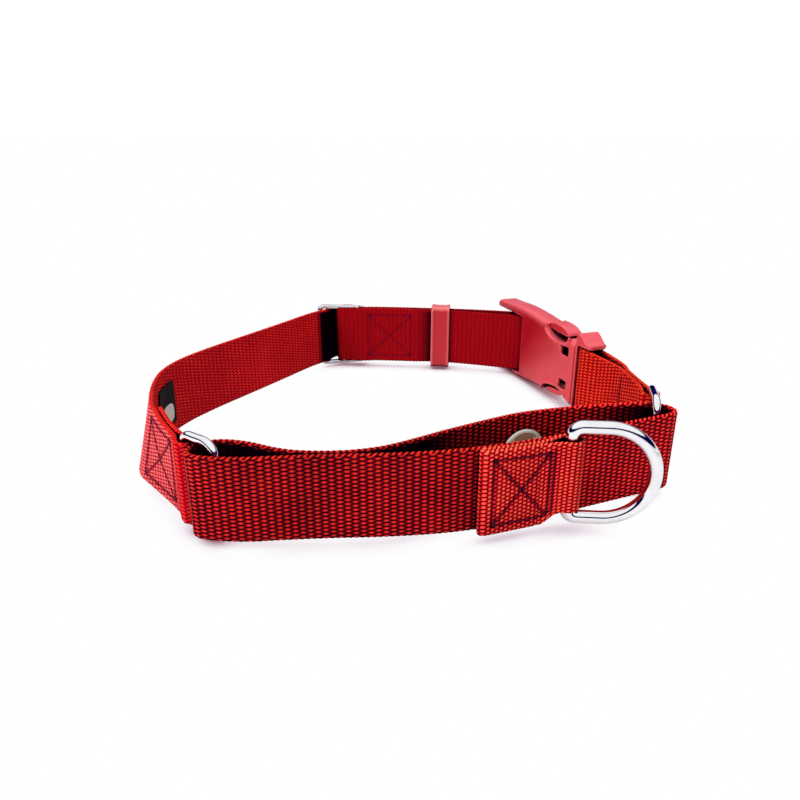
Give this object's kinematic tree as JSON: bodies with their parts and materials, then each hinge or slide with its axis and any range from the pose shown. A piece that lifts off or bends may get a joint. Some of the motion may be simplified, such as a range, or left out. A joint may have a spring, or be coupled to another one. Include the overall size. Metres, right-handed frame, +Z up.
{
  "type": "martingale collar",
  "caption": "Adjustable webbing martingale dog collar with control loop, leash ring, slider, keeper and side-release buckle.",
  "frame": {"origin": "bottom centre of the whole collar's bounding box, standing on its edges as on a table", "axes": "+Z up along the webbing's width, -Y towards the control loop and leash ring, +X towards the buckle"},
  "size_m": [0.1694, 0.1656, 0.0346],
  "materials": {
    "webbing": "woven nylon webbing",
    "thread": "twisted sewing thread",
    "chrome_ring": "polished chrome plate",
    "slider_metal": "plated die-cast metal",
    "buckle_plastic": "moulded acetal, soft sheen",
    "label_dark": "woven satin label",
    "label_light": "woven label"
  },
  "bodies": {
    "rear": {"strap_left": "webbing", "strap_rear_outer": "webbing", "strap_rear_inner": "webbing", "buckle_female": "buckle_plastic", "label_woven": "label_dark"},
    "slider_unit": {"slider": "slider_metal", "strap_slider_bend": "webbing", "strap_slider_end": "webbing", "thread_slider_end": "thread"},
    "keeper": {"strap_keeper": "buckle_plastic"},
    "left_end": {"strap_left_eye": "webbing", "thread_ring_end": "thread"},
    "left_ring": {"ring_left": "chrome_ring"},
    "loop": {"control_loop": "webbing", "ring_patch": "webbing", "thread_ring_patch": "thread", "label_round": "label_light"},
    "leash_ring": {"d_ring": "chrome_ring"},
    "male": {"buckle_male": "buckle_plastic", "strap_short": "webbing"},
    "prong_top": {"prong_upper": "buckle_plastic"},
    "prong_bottom": {"prong_lower": "buckle_plastic"},
    "right_end": {"thread_short_strap": "thread"},
    "right_ring": {"ring_right": "chrome_ring"}
  },
  "joints": [
    {"name": "collar_open", "type": "hinge", "parent": "rear", "child": "left_end", "pos_m": [-0.08444, -0.02288, 0.0158], "axis": [0, 0, -1], "range_deg": [0, 40]},
    {"name": "buckle_release", "type": "hinge", "parent": "rear", "child": "male", "pos_m": [-0.08444, -0.02288, 0.0158], "axis": [0, 0, -1], "range_deg": [0, 40], "deforming": ["prong_upper", "prong_lower"]},
    {"name": "cinch", "type": "slide", "parent": "male", "child": "right_end", "axis": [-0.9285, -0.3714, 0], "range_m": [0, 0.01885], "deforming": ["strap_short"]},
    {"name": "loop_run", "type": "slide", "parent": "left_end", "child": "loop", "axis": [-0.8, -0.6, 0], "range_m": [0, 0.005]},
    {"name": "left_ring_swing", "type": "hinge", "parent": "left_end", "child": "left_ring", "pos_m": [-0.05819, -0.07078, 0.0158], "axis": [0, 0, 1], "range_deg": [-1, 4]},
    {"name": "right_ring_swing", "type": "hinge", "parent": "right_end", "child": "right_ring", "pos_m": [0.08146, -0.03428, 0.0158], "axis": [0, 0, 1], "range_deg": [-8, 6]},
    {"name": "leash_ring_swing", "type": "hinge", "parent": "loop", "child": "leash_ring", "pos_m": [0.04766, -0.07193, 0.0158], "axis": [0, 0, 1], "range_deg": [-105, 5]},
    {"name": "keeper_slide", "type": "slide", "parent": "rear", "child": "keeper", "axis": [0.993, -0.118, 0], "range_m": [-0.005, 0]},
    {"name": "slider_slide", "type": "slide", "parent": "rear", "child": "slider_unit", "axis": [0.9954, -0.0954, 0], "range_m": [0, 0.005], "deforming": ["strap_slider_bend", "strap_slider_end"]},
    {"name": "prong_upper_press", "type": "hinge", "parent": "male", "child": "prong_top", "pos_m": [0.07211, 0.01829, 0.0233], "axis": [-0.9507, -0.31, 0], "range_deg": [0, 7]},
    {"name": "prong_lower_press", "type": "hinge", "parent": "male", "child": "prong_bottom", "pos_m": [0.07211, 0.01829, 0.0083], "axis": [0.9507, 0.31, 0], "range_deg": [0, 7]}
  ],
  "couplings": [
    {"joint": "buckle_release", "follows": "collar_open", "ratio": 1},
    {"joint": "loop_run", "follows": "cinch", "ratio": 0.26528}
  ]
}
